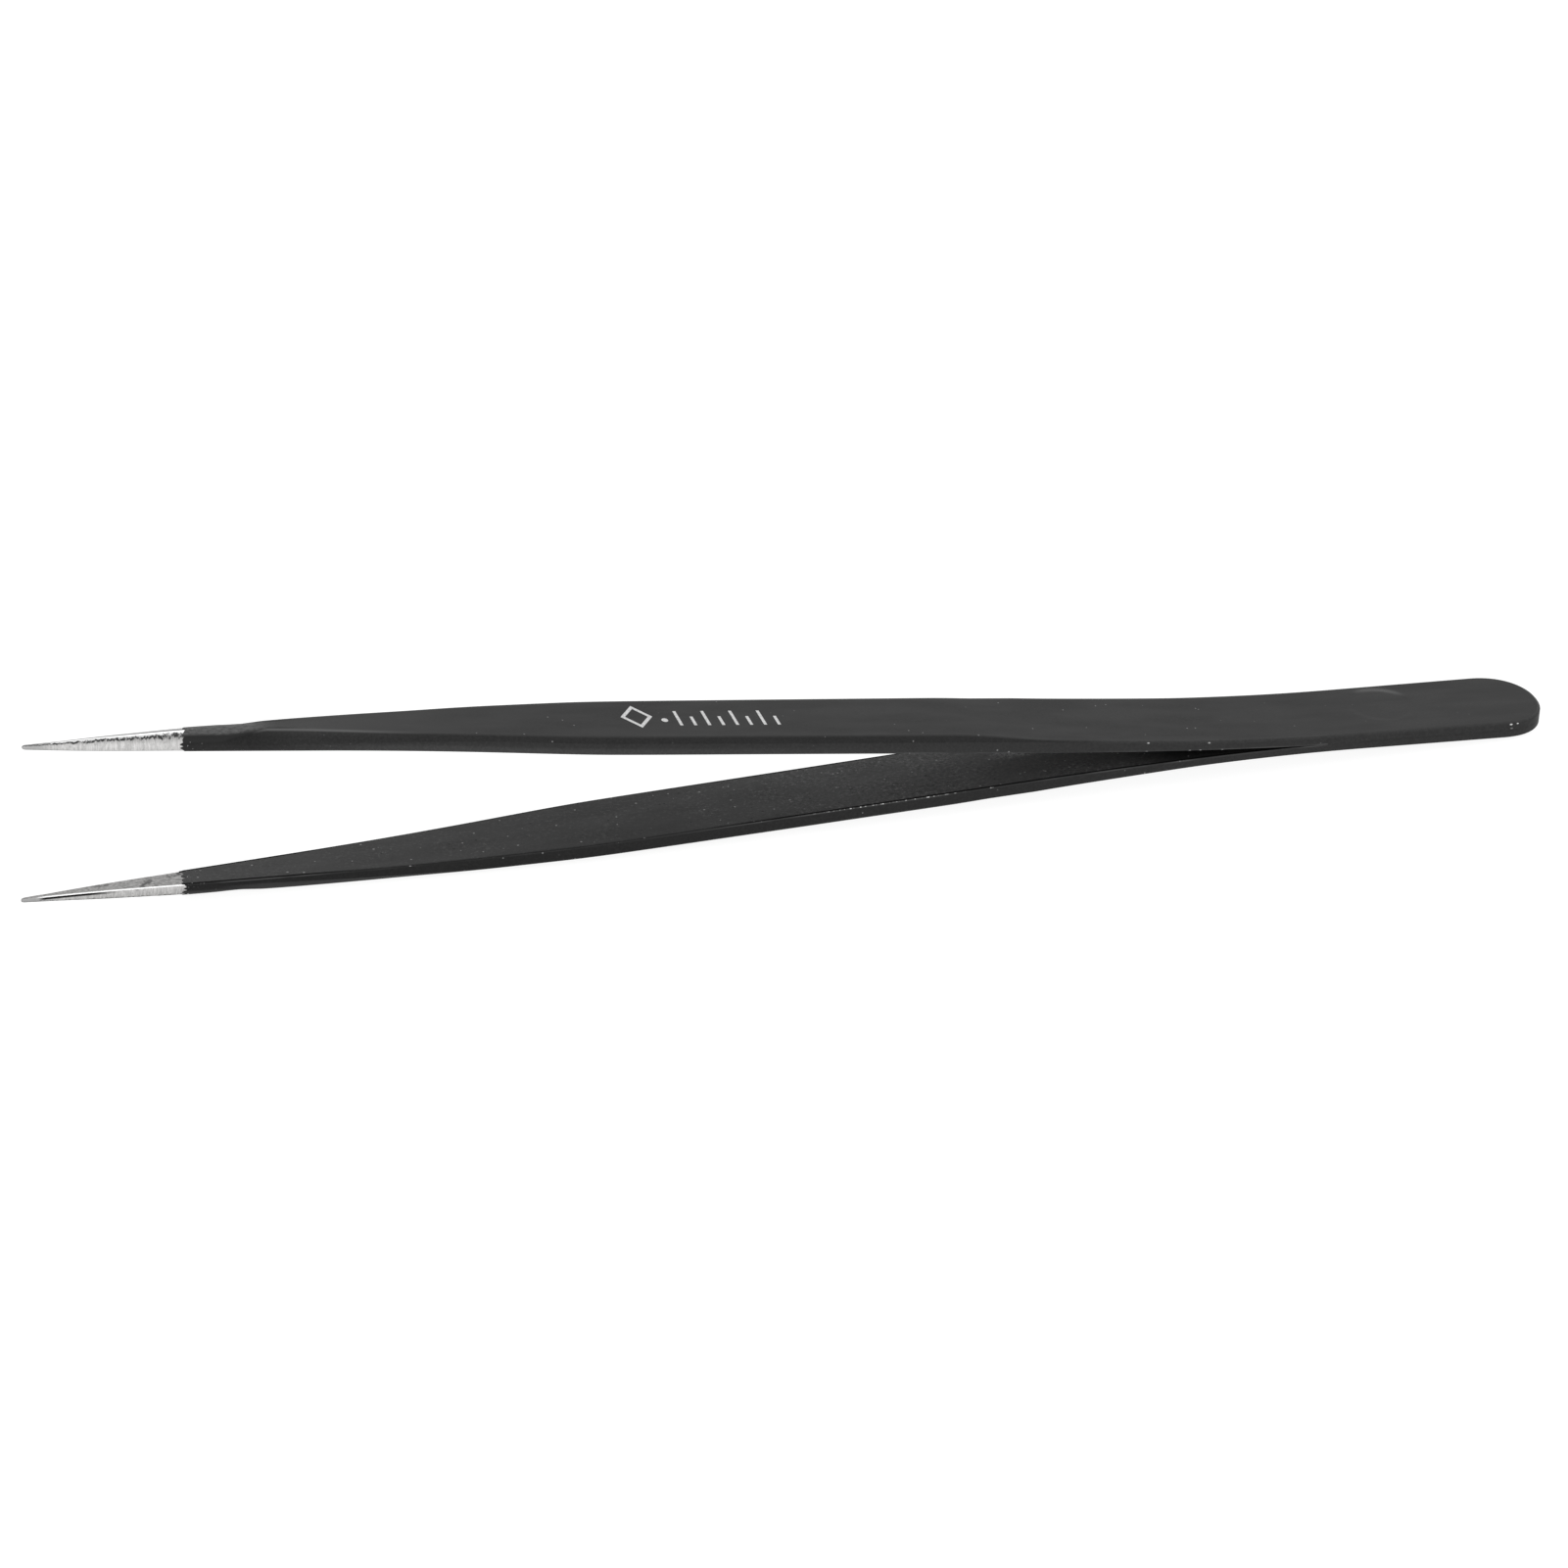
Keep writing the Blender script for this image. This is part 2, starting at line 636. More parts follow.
def cup_surface(stations, grow):
    """The heel's surface round both arms, closed behind by its rounded end."""
    half = half_section(stations, grow)
    first = 1 + INNER_STEPS + CORNER_STEPS
    side = half[:, first:]
    width = side[:, :1, 0]
    foot = np.stack([width, 0 * width + 1e-4], axis=-1)
    near_foot = np.stack([width, 0 * width + SEAM_GROOVE_HALF_WIDTH], axis=-1)
    ring = cup_ring(np.concatenate([foot, near_foot, side], axis=1))
    x = np.repeat(np.asarray(stations, float)[:, None], ring.shape[1], axis=1)
    rows, places = swept_heel(ring, x, 22)
    ring = np.concatenate([ring, rows])
    x = np.concatenate([x, places])
    points = np.concatenate([x[..., None], ring], axis=2)
    upper_side = points[..., 2] > 0
    flat = np.abs(points[..., 2]) > THICKNESS[-1][1] * 0.9
    depth = dimple(points[..., 0], points[..., 1], NUGGETS[0][1]) * flat
    points[..., 2] += np.where(upper_side, -depth, depth)
    groove = np.exp(-((points[..., 2] / SEAM_GROOVE_HALF_WIDTH) ** 2))
    groove *= SEAM_GROOVE_DEPTH * (1 - smoothstep(COATING_SEAM, SEAM_GROOVE_END, points[..., 0]))
    points[..., 1] -= np.sign(points[..., 1]) * groove * (grow > COATING_LIFT)
    return points


def heel_coating(name):
    """The coating round the heel: one cup over both arms."""
    stations = steps_between((COATING_SEAM, 121, 0.6), (121, 129, 0.16), (129, HEEL_ROUND_CENTRE, 0.6))
    outside = cup_surface(stations, COATING)
    inside = cup_surface(stations, COATING_LIFT)
    zero = np.zeros(outside.shape[:2])
    behind, across = outside[..., 0] - NUGGETS[0][0], outside[..., 1] - NUGGETS[0][1]
    # The press mark's wall is rubbed shiny on its far side only.
    half_wall = DIMPLE_WALL / 2
    rub = np.exp(-(((np.hypot(behind, across) - DIMPLE_RADIUS + half_wall) / half_wall) ** 2))
    rub = rub * smoothstep(1.9, 2.9, 0.96 * across + 0.28 * behind)
    crown = cup_values(CROWN_EDGE) * smoothstep(133, 136, outside[..., 0])
    crown = 0.4 * crown * smoothstep(-1, 1.5, outside[..., 1])
    values = {
        "around": zero + 1,
        "edge": zero + 1,
        "crown": crown,
        "tone": zero + 1 + (HEEL_BEVEL - 1) * cup_values(ON_BEVEL),
        "thin": zero,
        "rim": zero,
        "rub": rub,
    }
    return shell(name, outside, inside, values, open_end=False)


# ---------------------------------------------------------------- the printed mark

MARK_LIFT = 0.006
MARK_SINK = 0.003
MARK_STROKE = 0.28
MARK_MIDDLE = 0.35  # where the mark's middle line lies across the arm


def back_height(station):
    return inner_height(station) + eased(THICKNESS, station) + COATING


def add_outline(points, faces, outer, inner=None):
    """A thin printed patch on the arm's back: a closed outline, with a hole if inner is given."""
    first = len(points)
    rings = [outer] if inner is None else [outer, inner]
    count = len(outer)
    for lift in (MARK_LIFT, -MARK_SINK):
        for ring in rings:
            for station, y in ring:
                points.append((station, y, float(back_height(np.float64(station))) + lift))
    levels = len(rings) * count
    top = [np.arange(count) + first + ring * count for ring in range(len(rings))]
    bottom = [ring + levels for ring in top]
    if inner is None:
        faces.append(top[0])
        faces.append(bottom[0][::-1])
        faces.extend(bridge(bottom[0], top[0]))
    else:
        faces.extend(bridge(top[0], top[1]))
        faces.extend(bridge(bottom[0], bottom[1], flip=True))
        faces.extend(bridge(bottom[0], top[0]))
        faces.extend(bridge(bottom[1], top[1], flip=True))


def lozenge(station, y, half_length, half_height, steps=6):
    """A diamond outline with gently bowed sides."""
    corners = [(half_length, 0), (0, half_height), (-half_length, 0), (0, -half_height)]
    outline = []
    for (x0, y0), (x1, y1) in zip(corners, corners[1:] + corners[:1]):
        for t in np.arange(steps) / steps:
            outline.append((station + x0 + (x1 - x0) * t, y + y0 + (y1 - y0) * t))
    return outline


MARK_STATION = 54.5  # the middle of the lozenge
LOZENGE = (1.45, 2.15)  # its half-lengths along and across the arm
LOZENGE_STROKE = (0.4, 0.59)
DOT_PLACE, DOT_SIZE = (2.4, -0.7), (0.3, 0.36)
TICKS, FIRST_TICK, TICK_STEP = 8, 3.55, 1.28
TICK_FOOT = -1.75  # the ticks' lower end, from the mark's middle line
LONG_TICK, SHORT_TICK = 2.8, 1.7


def printed_mark(name):
    points, faces = [], []
    hole = [size - stroke for size, stroke in zip(LOZENGE, LOZENGE_STROKE)]
    add_outline(
        points, faces,
        lozenge(MARK_STATION, MARK_MIDDLE, *LOZENGE),
        lozenge(MARK_STATION, MARK_MIDDLE, *hole),
    )
    dot_station, dot_y = MARK_STATION + DOT_PLACE[0], MARK_MIDDLE + DOT_PLACE[1]
    add_outline(points, faces, [
        (dot_station + DOT_SIZE[0] * math.cos(a), dot_y + DOT_SIZE[1] * math.sin(a))
        for a in np.linspace(0, 2 * math.pi, 20, endpoint=False)
    ])
    low = MARK_MIDDLE + TICK_FOOT
    for tick in range(TICKS):
        left = MARK_STATION + FIRST_TICK + TICK_STEP * tick
        right = left + MARK_STROKE
        high = low + (SHORT_TICK if tick % 2 else LONG_TICK)
        add_outline(points, faces, [(left, low), (right, low), (right, high), (left, high)])
    return make_mesh(name, np.array(points), faces, {})


# ---------------------------------------------------------------- materials


class Look:
    """A node material, built by small calls that each return a socket."""

    def __init__(self, name, **constants):
        self.material = bpy.data.materials.new(name)
        self.material.use_nodes = True
        self.tree = self.material.node_tree
        self.shader = self.tree.nodes["Principled BSDF"]
        for socket, value in constants.items():
            self.shader.inputs[socket.replace("_", " ")].default_value = value

    def node(self, kind, inputs=(), **settings):
        node = self.tree.nodes.new(kind)
        for key, value in settings.items():
            setattr(node, key, value)
        for socket, value in dict(inputs).items():
            self.put(node.inputs[socket], value)
        return node

    def put(self, socket, value):
        if isinstance(value, bpy.types.NodeSocket):
            self.tree.links.new(value, socket)
        else:
            socket.default_value = value

    def value(self, name):
        return self.node("ShaderNodeAttribute", attribute_name=name).outputs["Fac"]

    def spot(self, scale=(1, 1, 1), turn=0.0):
        place = self.node("ShaderNodeAttribute", attribute_name="spot").outputs["Vector"]
        return self.node(
            "ShaderNodeMapping", {"Vector": place, "Scale": scale, "Rotation": (0, 0, turn)}
        ).outputs["Vector"]

    def axis(self, place, number):
        return self.node("ShaderNodeSeparateXYZ", {"Vector": place}).outputs[number]

    def distance(self, place, point):
        inputs = {0: place, 1: point}
        return self.node("ShaderNodeVectorMath", inputs, operation="DISTANCE").outputs["Value"]

    def noise(self, place, scale, detail=2.0, roughness=0.5):
        inputs = {"Vector": place, "Scale": scale, "Detail": detail, "Roughness": roughness}
        return self.node("ShaderNodeTexNoise", inputs).outputs["Fac"]

    def cells(self, place, scale):
        return self.node("ShaderNodeTexVoronoi", {"Vector": place, "Scale": scale})

    def specks(self, place, scale, radius, channel, share):
        """Round spots in the given share of the cells, picked at random."""
        cells = self.cells(place, scale)
        near = self.ramp(cells.outputs["Distance"], radius, radius * 0.6)
        picked = self.ramp(self.axis(cells.outputs["Color"], channel), 1 - share, 1.001 - share)
        return self.times(near, picked)

    def math(self, operation, a, b=0.0):
        return self.node("ShaderNodeMath", {0: a, 1: b}, operation=operation).outputs[0]

    def times(self, value, *others):
        for other in others:
            value = self.math("MULTIPLY", value, other)
        return value

    def most(self, a, b):
        return self.math("MAXIMUM", a, b)

    def ramp(self, value, low, high, to_low=0.0, to_high=1.0):
        inputs = {"Value": value, "From Min": low, "From Max": high, "To Min": to_low, "To Max": to_high}
        return self.node("ShaderNodeMapRange", inputs, interpolation_type="SMOOTHSTEP").outputs["Result"]

    def scaled(self, colour, factor):
        inputs = {0: colour, 3: factor}
        return self.node("ShaderNodeVectorMath", inputs, operation="SCALE").outputs["Vector"]

    def mix(self, share, a, b):
        node = self.node("ShaderNodeMix", data_type="FLOAT", clamp_factor=True)
        self.put(node.inputs[0], share)
        self.put(node.inputs[2], a)
        self.put(node.inputs[3], b)
        return node.outputs[0]

    def mix_colour(self, share, a, b):
        node = self.node("ShaderNodeMix", data_type="RGBA", clamp_factor=True)
        self.put(node.inputs[0], share)
        self.put(node.inputs[6], a)
        self.put(node.inputs[7], b)
        return node.outputs[2]

    def bump(self, height, distance, strength):
        inputs = {"Height": height, "Distance": distance * METRES, "Strength": strength}
        return self.node("ShaderNodeBump", inputs).outputs["Normal"]

    def set(self, **sockets):
        for socket, value in sockets.items():
            self.put(self.shader.inputs[socket.replace("_", " ")], value)
        return self.material


# Small worn spots on the near edges: (half the station, y, z), reach and how bare they are.
NICKS = [
    ((67.85, -4.73, 0.6), 0.09, 0.9),
    ((68.2, -4.69, 0.62), 0.09, 0.9),
    ((67.9, -4.74, 0.2), 0.09, 0.2),
    ((50.4, -4.49, 1.54), 0.07, 0.7),
    ((53.3, -4.53, 1.09), 0.07, 0.6),
    ((52.4, -4.53, 0.47), 0.07, 0.6),
    ((52.9, -4.53, 0.42), 0.07, 0.6),
    ((53.95, -4.54, 0.31), 0.07, 0.8),
]


def grey(value, warmth=0.0):
    return (value * (1 + warmth), value, value * (1 - warmth), 1)


# Where these changes along the tool begin and end, by station.
LIGHTER_FRONT = (46, 22)
LIGHTER_HEEL = (112, 126)
ROUGH_INNER, ROUGH_INNER_END = (55, 75), (105, 99)
DARKER_INNER = (55, 80)
NARROW_GAP = (98.5, 104.5)  # between the arms, in front of the spring
SPECKS_BEGIN, SPECKS_FADE = (30, 42), (120, 108)
WORN_STRETCH_START, WORN_STRETCH_END = (69, 73), (84.5, 81)
WORN_SPOTS_END = (108, 104)
FAINT_FROM, FAINT_TO = (32, 24), (56, 68)  # the inner edge's lines are faint between these

# Shares of the way round the section, and heights in the heel.
INNER_FACE = (0.24, 0.2)
BACK_FLAT = (0.52, 0.6)
HEEL_FACE = (0.7, 0.77)


def black_coating():
    look = Look("black_coating")
    place = look.spot()
    station = look.axis(place, 0)
    around, edge, tone = look.value("around"), look.value("edge"), look.value("tone")
    inner = look.ramp(around, *INNER_FACE)
    grain = look.noise(place, 5.0, 4.0, 0.65)
    mottle = look.noise(place, 0.8, 3.0)
    blotch = look.noise(look.spot((0.25, 1, 1)), 0.5, 2.0)
    colour = look.mix_colour(mottle, grey(0.0125), grey(0.018))
    colour = look.mix_colour(look.ramp(grain, 0.35, 0.75), colour, grey(0.025))

    # The back and the inner face are lighter in front, and the heel's faces a little too.
    lighter = look.most(look.ramp(around, *BACK_FLAT), look.times(inner, 0.7))
    lighter = look.times(look.ramp(station, *LIGHTER_FRONT), lighter)
    colour = look.mix_colour(lighter, colour, grey(0.036))
    heel_face = look.ramp(look.math("ABSOLUTE", look.axis(place, 2)), *HEEL_FACE)
    heel_face = look.times(heel_face, look.ramp(station, *LIGHTER_HEEL), 0.5)
    colour = look.mix_colour(heel_face, colour, grey(0.025))
    colour = look.scaled(colour, tone)

    # The inner faces are rougher: light and dark specks over a coarser grain.
    coarse = look.noise(look.spot((0.8, 1, 1)), 3.6, 5.0, 0.8)
    stretch = look.ramp(station, *ROUGH_INNER, 0.3, 1.0)
    stretch = look.times(stretch, look.ramp(station, *ROUGH_INNER_END))
    patches = look.ramp(look.noise(place, 0.22, 2.0), 0.35, 0.6, 0.4, 1.0)
    rough_area = look.times(inner, patches, stretch)
    base = look.times(inner, look.ramp(station, *DARKER_INNER, 0.1, 1.0))
    colour = look.mix_colour(base, colour, grey(0.04))
    light = look.times(rough_area, look.ramp(coarse, 0.52, 0.66))
    colour = look.mix_colour(light, colour, grey(0.12))
    dark = look.times(rough_area, look.ramp(coarse, 0.47, 0.36))
    colour = look.mix_colour(dark, colour, grey(0.004))
    narrowing = look.times(inner, look.ramp(station, *NARROW_GAP, 0.0, 0.7))
    colour = look.mix_colour(narrowing, colour, grey(0.003))

    # One rubbed patch on the inner faces.
    patch = look.ramp(look.distance(look.spot((0.4, 1, 0)), (36.2, -1.3, 0)), 1.3, 0.4)
    patch = look.times(patch, inner, look.ramp(coarse, 0.44, 0.6))
    colour = look.mix_colour(patch, colour, grey(0.17))

    # Small light specks here and there, and more of them on the inner faces, with dark pits.
    specks = look.ramp(look.cells(place, 0.9).outputs["Distance"], 0.085, 0.05)
    specks = look.times(specks, look.ramp(look.noise(place, 0.31, 1.0), 0.46, 0.56))
    specks = look.times(specks, look.ramp(station, *SPECKS_BEGIN, 0.15, 0.6))
    specks = look.times(specks, look.ramp(station, *SPECKS_FADE, 0.2, 1.0))
    colour = look.mix_colour(specks, colour, grey(0.25))
    inner_specks = look.times(inner, look.specks(place, 2.2, 0.28, 0, 0.05), 0.8)
    colour = look.mix_colour(inner_specks, colour, grey(0.2))
    pits = look.times(inner, look.specks(place, 2.0, 0.26, 1, 0.025))
    colour = look.mix_colour(pits, colour, grey(0.002))

    # Over the rounded front of the back the coating is thin and fuzzy.
    fuzz = look.noise(look.spot((0.9, 2.2, 1)), 2.2, 4.0, 0.75)
    thin = look.times(look.value("thin"), look.ramp(fuzz, 0.34, 0.62, 0.25, 1.0))
    colour = look.mix_colour(thin, colour, grey(0.1))

    # The back's long edges are rubbed a little lighter where they begin.
    colour = look.mix_colour(look.value("crown"), colour, grey(0.1))

    # The long inner edges: a dark line just inside them, a light one on the foot of the side
    # wall, and broken bright wear along that.
    clear = look.ramp(station, *FAINT_FROM, 0.3, 1.0)
    clear = look.most(clear, look.ramp(station, *FAINT_TO, 0.3, 1.0))
    line = look.times(look.ramp(edge, -0.3, -0.22), look.ramp(edge, 0.0, -0.03), clear)
    colour = look.mix_colour(line, colour, grey(0.003))
    foot = look.times(look.ramp(edge, -0.02, 0.03), look.ramp(edge, 0.16, 0.1))
    rubbed = look.ramp(look.noise(look.spot((0.3, 1, 1)), 0.6, 2.0), 0.4, 0.6, 0.2, 0.9)
    colour = look.mix_colour(look.times(foot, rubbed, clear), colour, grey(0.05))
    flecks = look.ramp(look.noise(look.spot((0.7, 0, 0)), 3.4, 4.0, 0.7), 0.5, 0.62)
    stretch = look.times(
        look.ramp(station, *WORN_STRETCH_START),
        look.ramp(station, *WORN_STRETCH_END),
        look.ramp(look.axis(place, 1), 0, 1),
    )
    now_and_then = look.ramp(look.noise(look.spot((1, 0.1, 0)), 0.55, 1.0), 0.64, 0.7)
    now_and_then = look.times(now_and_then, look.ramp(station, *WORN_SPOTS_END), 0.6)
    thin_line = look.times(look.ramp(edge, 0.0, 0.03), look.ramp(edge, 0.1, 0.06))
    wear = look.times(thin_line, flecks, look.most(stretch, now_and_then))
    chips = look.times(look.value("rim"), look.ramp(look.noise(place, 6.0, 2.0), 0.68, 0.72))
    wear = look.most(wear, chips)
    for nick_place, reach, bare in NICKS:
        nick = look.ramp(look.distance(look.spot((0.5, 1, 1)), nick_place), reach, reach * 0.55)
        wear = look.most(wear, look.times(nick, bare))
    colour = look.mix_colour(wear, colour, grey(0.6))

    rub = look.value("rub")
    roughness = look.ramp(blotch, 0.3, 0.7, 0.5, 0.6)
    roughness = look.mix(look.ramp(grain, 0.4, 0.7), roughness, 0.62)
    roughness = look.mix(rub, roughness, 0.25)
    roughness = look.mix(wear, roughness, 0.35)
    shine = look.mix(line, look.times(tone, 0.145), 0.02)
    shine = look.mix(rub, shine, 0.3)
    shine = look.mix(narrowing, shine, 0.02)
    height = look.math("ADD", grain, look.times(mottle, 0.8))
    height = look.math("SUBTRACT", height, look.times(wear, 1.2))
    height = look.math("ADD", height, look.times(coarse, rough_area, 3.0))
    return look.set(
        Base_Color=colour,
        Roughness=roughness,
        Metallic=wear,
        Specular_IOR_Level=shine,
        Normal=look.bump(height, 0.006, 0.8),
    )


BARE_INNER_FACE = (0.2, 0.17)
CROWN_TOP = (0.965, 0.915)  # shares of the way round the back: beyond them lies the dull spine
FAR_BACK = (0.7, 0.78)  # on the far side the spine is wider
POINT_END = (3.4, 1.2)
SCRATCH_TURN = math.radians(-38)


def bare_steel(name, side_tone, edge_tone, edge_shadow):
    """The bare points. The tones are those of the side walls and of the line on the inner edge,
    and edge_shadow is how clear the dark line beside it is."""
    look = Look(name, Metallic=1.0)
    place = look.spot()
    station = look.axis(place, 0)
    around, back, edge = look.value("around"), look.value("back"), look.value("edge")
    blast = look.noise(place, 9.0, 4.0, 0.7)
    brushed = look.noise(look.spot((9, 0.9, 0.9)), 1.0, 4.0, 0.7)
    scratches = look.noise(look.spot((2.4, 12, 1), SCRATCH_TURN), 1.3, 3.0, 0.6)
    inner = look.ramp(around, *BARE_INNER_FACE)

    # The ground back: a ragged dark ridge on each side, a bright band over it and a dull spine.
    jag = look.math("SUBTRACT", look.noise(look.spot((2.0, 1.2, 0.2)), 1.4, 4.0, 0.75), 0.5)
    ridge_place = look.math("SUBTRACT", back, RIDGE_PLACE)
    ridge_place = look.math("ADD", ridge_place, look.times(jag, 0.7))
    broken = look.noise(look.spot((2.6, 1, 1)), 2.4, 3.0)
    ridge = look.ramp(look.math("ABSOLUTE", ridge_place), 0.13, 0.05)
    ridge = look.times(ridge, look.ramp(broken, 0.36, 0.5, 0.45, 1.0))
    crown = look.times(look.ramp(ridge_place, 0.0, 0.04), look.ramp(back, *CROWN_TOP))
    far = look.times(look.ramp(look.axis(place, 1), 0.0, 0.03), look.ramp(back, *FAR_BACK))
    spine = look.most(look.ramp(back, *reversed(CROWN_TOP)), far)

    side = look.mix_colour(
        look.ramp(brushed, 0.36, 0.64), grey(side_tone * 0.8, 0.01), grey(side_tone * 1.14, 0.01)
    )
    side = look.mix_colour(look.ramp(blast, 0.55, 0.75), side, grey(side_tone * 1.3))
    speckle = look.noise(look.spot((1.2, 1, 1)), 2.8, 4.0, 0.75)
    side = look.mix_colour(look.ramp(speckle, 0.55, 0.66, 0.0, 0.5), side, grey(side_tone * 0.4))
    face = look.mix_colour(look.ramp(scratches, 0.38, 0.64), grey(0.22, 0.01), grey(0.46, 0.01))
    stain = look.ramp(look.noise(place, 1.3, 3.0), 0.54, 0.64)
    stain = look.times(stain, look.ramp(look.noise(place, 0.3), 0.45, 0.6), 0.8)
    face = look.mix_colour(stain, face, grey(0.1))
    colour = look.mix_colour(inner, side, face)
    colour = look.mix_colour(spine, colour, grey(0.28))
    colour = look.mix_colour(crown, colour, grey(0.95))
    end = look.times(look.ramp(station, *POINT_END), look.ramp(around, 0.2, 0.24), 0.8)
    colour = look.mix_colour(end, colour, grey(side_tone * 0.66))

    # A bright line on the inner edge, and a dark one beside it near the point.
    bright = look.times(look.ramp(edge, -0.12, -0.08), look.ramp(edge, 0.07, 0.04))
    bright = look.times(bright, look.ramp(station, 1.0, 2.2))
    colour = look.mix_colour(bright, colour, grey(edge_tone))
    beside = look.times(look.ramp(edge, 0.06, 0.08), look.ramp(edge, 0.32, 0.26))
    near_point = look.times(look.ramp(station, 1.4, 2.0), look.ramp(station, 9.0, 6.0))
    colour = look.mix_colour(look.times(beside, near_point, edge_shadow), colour, grey(0.012))
    colour = look.mix_colour(ridge, colour, grey(0.06))
    roughness = look.mix(look.most(crown, bright), look.mix(inner, 0.6, 0.5), 0.3)
    roughness = look.mix(ridge, roughness, 0.6)
    height = look.math("ADD", look.times(blast, 0.7), look.times(brushed, 0.8))
    height = look.mix(inner, height, scratches)
    normal = look.bump(height, 0.012, 0.7)
    return look.set(Base_Color=colour, Roughness=roughness, Specular_Tint=grey(0.15), Normal=normal)


def weld_metal():
    look = Look("weld_metal", Metallic=1.0)
    place = look.node("ShaderNodeTexCoord").outputs["Object"]
    grain = look.noise(place, 3000, 4.0)
    colour = look.mix_colour(grain, grey(0.3, 0.03), grey(0.48, 0.03))
    roughness = look.ramp(grain, 0.3, 0.7, 0.5, 0.75)
    return look.set(Base_Color=colour, Roughness=roughness, Normal=look.bump(grain, 0.02, 0.6))


def white_ink():
    look = Look("white_ink", Specular_IOR_Level=0.3)
    place = look.spot()
    cover = look.noise(place, 7.0, 3.0, 0.7)
    colour = look.mix_colour(look.ramp(cover, 0.3, 0.55), grey(0.3), grey(0.62))
    return look.set(
        Base_Color=colour,
        Roughness=look.ramp(cover, 0.3, 0.7, 0.5, 0.7),
        Normal=look.bump(cover, 0.004, 0.6),
    )


# ---------------------------------------------------------------- assembly

BEND_START = frame_point(116)
BEND_END = frame_point(98)

black = black_coating()


def finish_piece(piece, material):
    piece.data.materials.append(material)


for side, turned, seed, lean, steel in (
    ("upper", False, 11, (0, 0.25), bare_steel("upper_bare_steel", 0.5, 0.25, 0.0)),
    ("lower", True, 23, (0.2, -0.12), bare_steel("lower_bare_steel", 0.52, 1.0, 1.0)),
):
    arm = side + "_arm"
    strip = arm_steel(arm + "_steel", turned, seed)
    finish_piece(strip, steel)
    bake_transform(strip)
    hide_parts(side + "_blade", side + "_heel")

    coat = arm_coating(arm + "_coating", turned, seed + 5, lean)
    finish_piece(coat, black)
    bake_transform(coat)
    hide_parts(side + "_blade_coating")

cup = heel_coating("heel_end_coating")
finish_piece(cup, black)
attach(cup, "heel")
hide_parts("heel_coating")

mark = printed_mark("printed_mark")
finish_piece(mark, white_ink())
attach(mark, "upper_arm")

weld = weld_metal()
for name in ("weld_nugget_front", "weld_nugget_rear"):
    nugget = frame["nodes"][name]
    nugget.data.materials.clear()
    nugget.data.materials.append(weld)

# ---------------------------------------------------------------- floor, light and camera

FLOOR_SIZE = 6.0
FLOOR_GLOW = 0.9  # the table is a lit panel, so that shadows on it stay faint
SKY_STRENGTH = 1.08
OVERHEAD_STRENGTH = 0.7
OVERHEAD_FADE = (0.55, 0.95)  # upward share of a direction over which the sky grows dimmer
REAR_LIGHT = {"elevation": 48, "distance": 1.2, "size": (1.8, 0.8), "watts": 2.5}
FRONT_LIGHT = {"elevation": 12, "distance": 1.6, "size": (1.6, 0.6), "watts": 7}


def floor():
    mesh = bpy.data.meshes.new("floor")
    half = FLOOR_SIZE / 2
    corners = [(-half, -half, 0), (half, -half, 0), (half, half, 0), (-half, half, 0)]
    mesh.from_pydata(corners, [], [(0, 1, 2, 3)])
    piece = added("floor", mesh)
    piece.location.z = cad_box[0].z
    look = Look("pale_floor", Specular_IOR_Level=0.2, Emission_Strength=FLOOR_GLOW)
    tone = look.noise(look.node("ShaderNodeTexCoord").outputs["Object"], 3.0, 3.0)
    look.set(
        Base_Color=look.mix_colour(tone, grey(0.19), grey(0.2)),
        Emission_Color=grey(1.0),
        Roughness=look.ramp(tone, 0.3, 0.7, 0.85, 0.95),
    )
    mesh.materials.append(look.material)


def toward(azimuth, elevation):
    """Unit vector in a direction in degrees. Azimuth 0 is in front of the tool, at -Y."""
    a, e = math.radians(azimuth), math.radians(elevation)
    return Vector((math.sin(a) * math.cos(e), -math.cos(a) * math.cos(e), math.sin(e)))


def soft_light(name, azimuth, elevation, distance, size, watts):
    """A soft rectangular light in the direction given in degrees, aimed at the origin."""
    light = bpy.data.lights.new(name, "AREA")
    light.shape = "RECTANGLE"
    light.size, light.size_y = size
    light.energy = watts
    lamp = added(name, light)
    back = toward(azimuth, elevation)
    lamp.location = back * distance
    lamp.rotation_mode = "QUATERNION"
    lamp.rotation_quaternion = (-back).to_track_quat("-Z", "Y")


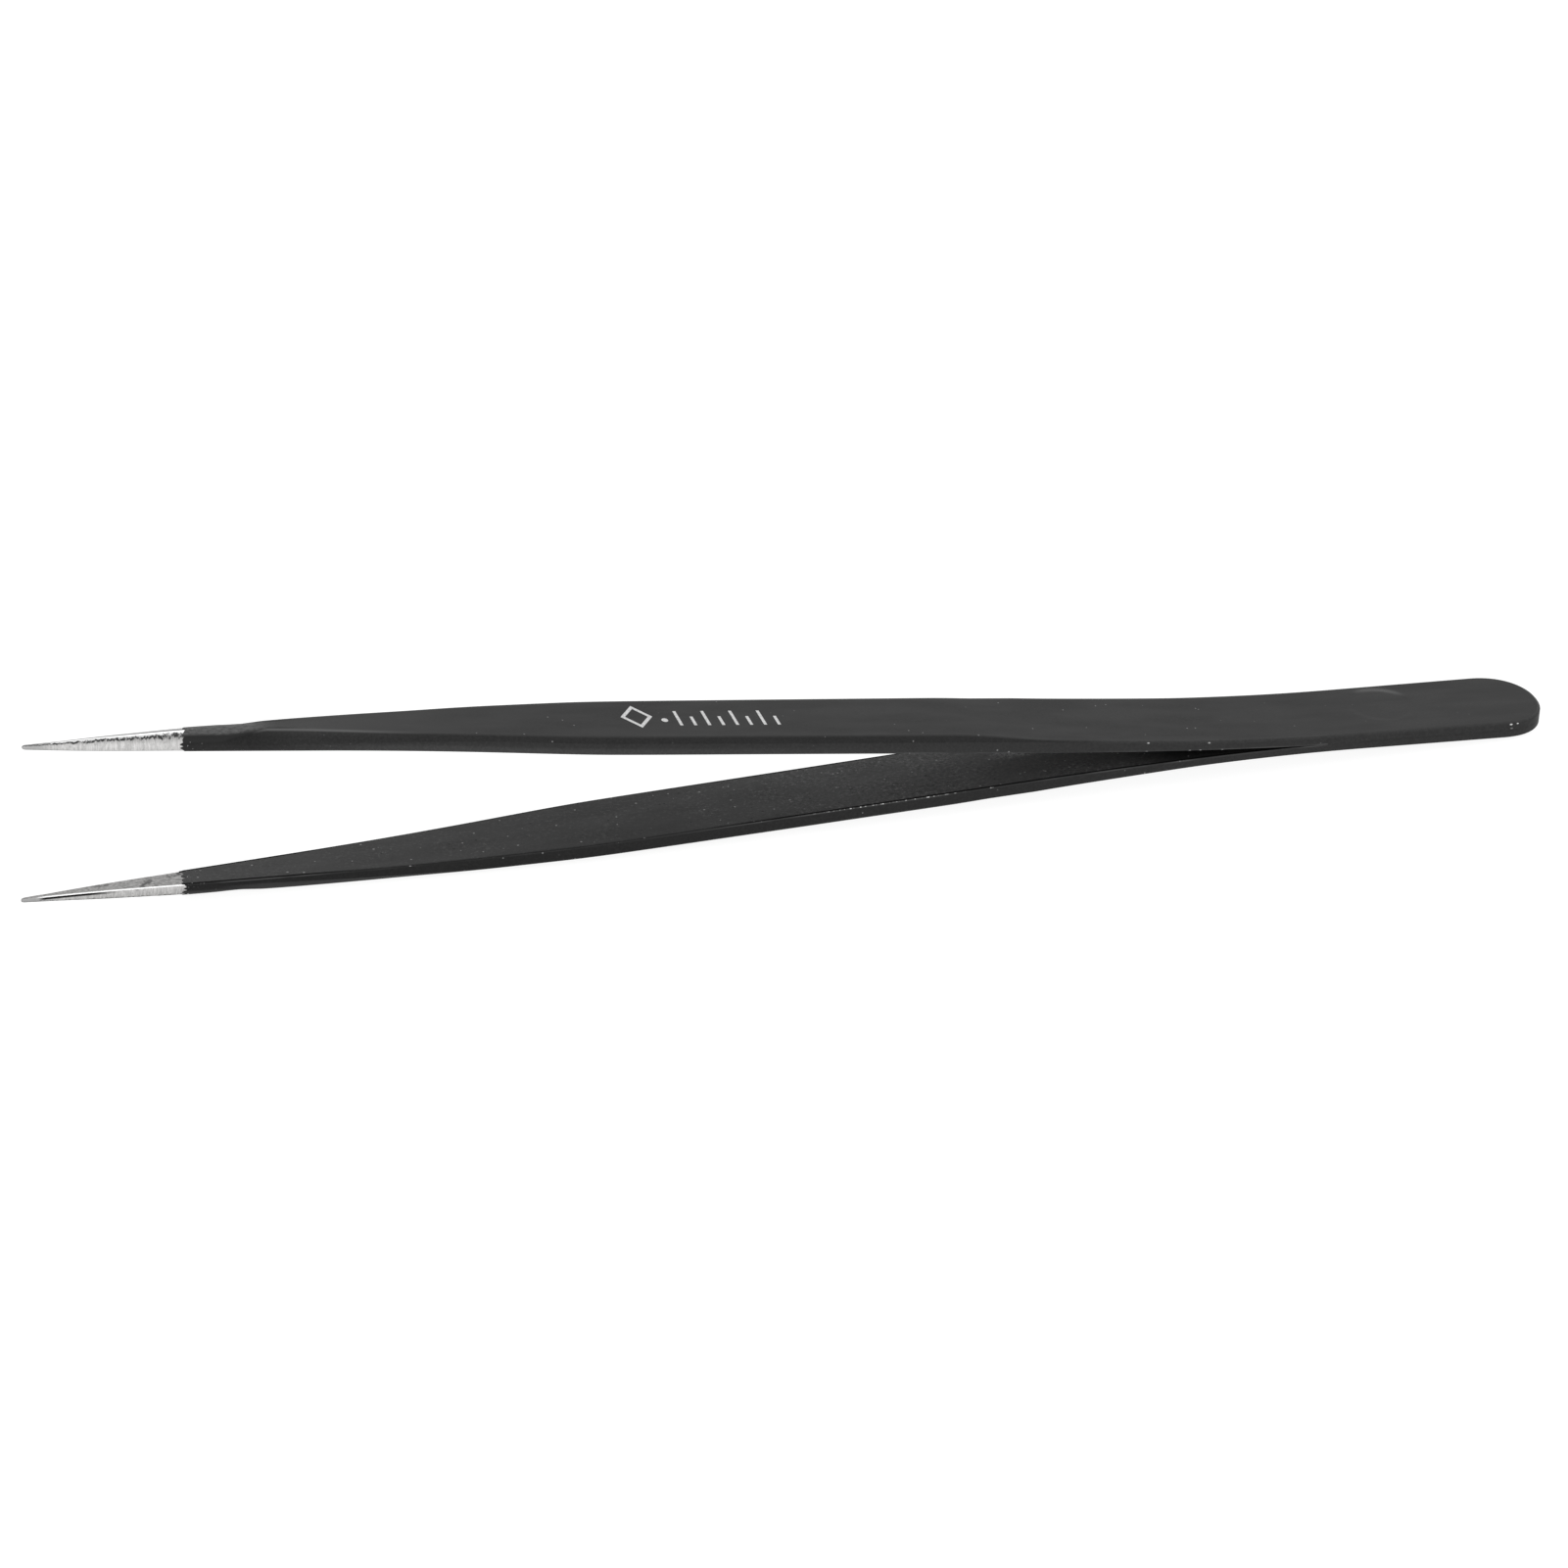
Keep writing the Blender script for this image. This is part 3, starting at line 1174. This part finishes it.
def sky():
    """A white surround that is a little dimmer overhead."""
    world = bpy.data.worlds.new("studio")
    world.use_nodes = True
    nodes, links = world.node_tree.nodes, world.node_tree.links
    direction = nodes.new("ShaderNodeTexCoord").outputs["Generated"]
    split = nodes.new("ShaderNodeSeparateXYZ")
    links.new(direction, split.inputs[0])
    fade = nodes.new("ShaderNodeMapRange")
    fade.interpolation_type = "SMOOTHSTEP"
    links.new(split.outputs["Z"], fade.inputs["Value"])
    limits = (*OVERHEAD_FADE, SKY_STRENGTH, OVERHEAD_STRENGTH)
    for socket, value in zip(("From Min", "From Max", "To Min", "To Max"), limits):
        fade.inputs[socket].default_value = value
    links.new(fade.outputs["Result"], nodes["Background"].inputs["Strength"])
    nodes["Background"].inputs["Color"].default_value = grey(1.0)
    bpy.context.scene.world = world


CAMERA_AZIMUTH = -16.047
CAMERA_ELEVATION = 28
CAMERA_DISTANCE = 576.9
CAMERA_TARGET_HEIGHT = 8.5
CAMERA_ASIDE = 1.4867  # how far the picture's middle lies left of the target
CAMERA_BELOW = 5.04  # and how far below it
CAMERA_LENS = 149.66
CAMERA_SENSOR = 36


def camera():
    data = bpy.data.cameras.new("camera")
    data.lens = CAMERA_LENS
    data.sensor_width = CAMERA_SENSOR
    data.clip_start, data.clip_end = 0.01, 20
    cam = added("camera", data)
    azimuth = math.radians(CAMERA_AZIMUTH)
    back = toward(CAMERA_AZIMUTH, CAMERA_ELEVATION)
    right = Vector((math.cos(azimuth), math.sin(azimuth), 0))
    up = back.cross(right)
    target = Vector((0, 0, CAMERA_TARGET_HEIGHT)) - right * CAMERA_ASIDE - up * CAMERA_BELOW
    cam.location = (target + back * CAMERA_DISTANCE) * METRES
    cam.rotation_mode = "QUATERNION"
    cam.rotation_quaternion = Matrix((right, up, back)).transposed().to_quaternion()
    bpy.context.scene.camera = cam


floor()
sky()
soft_light("rear", CAMERA_AZIMUTH + 180, **REAR_LIGHT)
soft_light("front", CAMERA_AZIMUTH, **FRONT_LIGHT)
camera()
bpy.context.scene.view_settings.view_transform = "Standard"
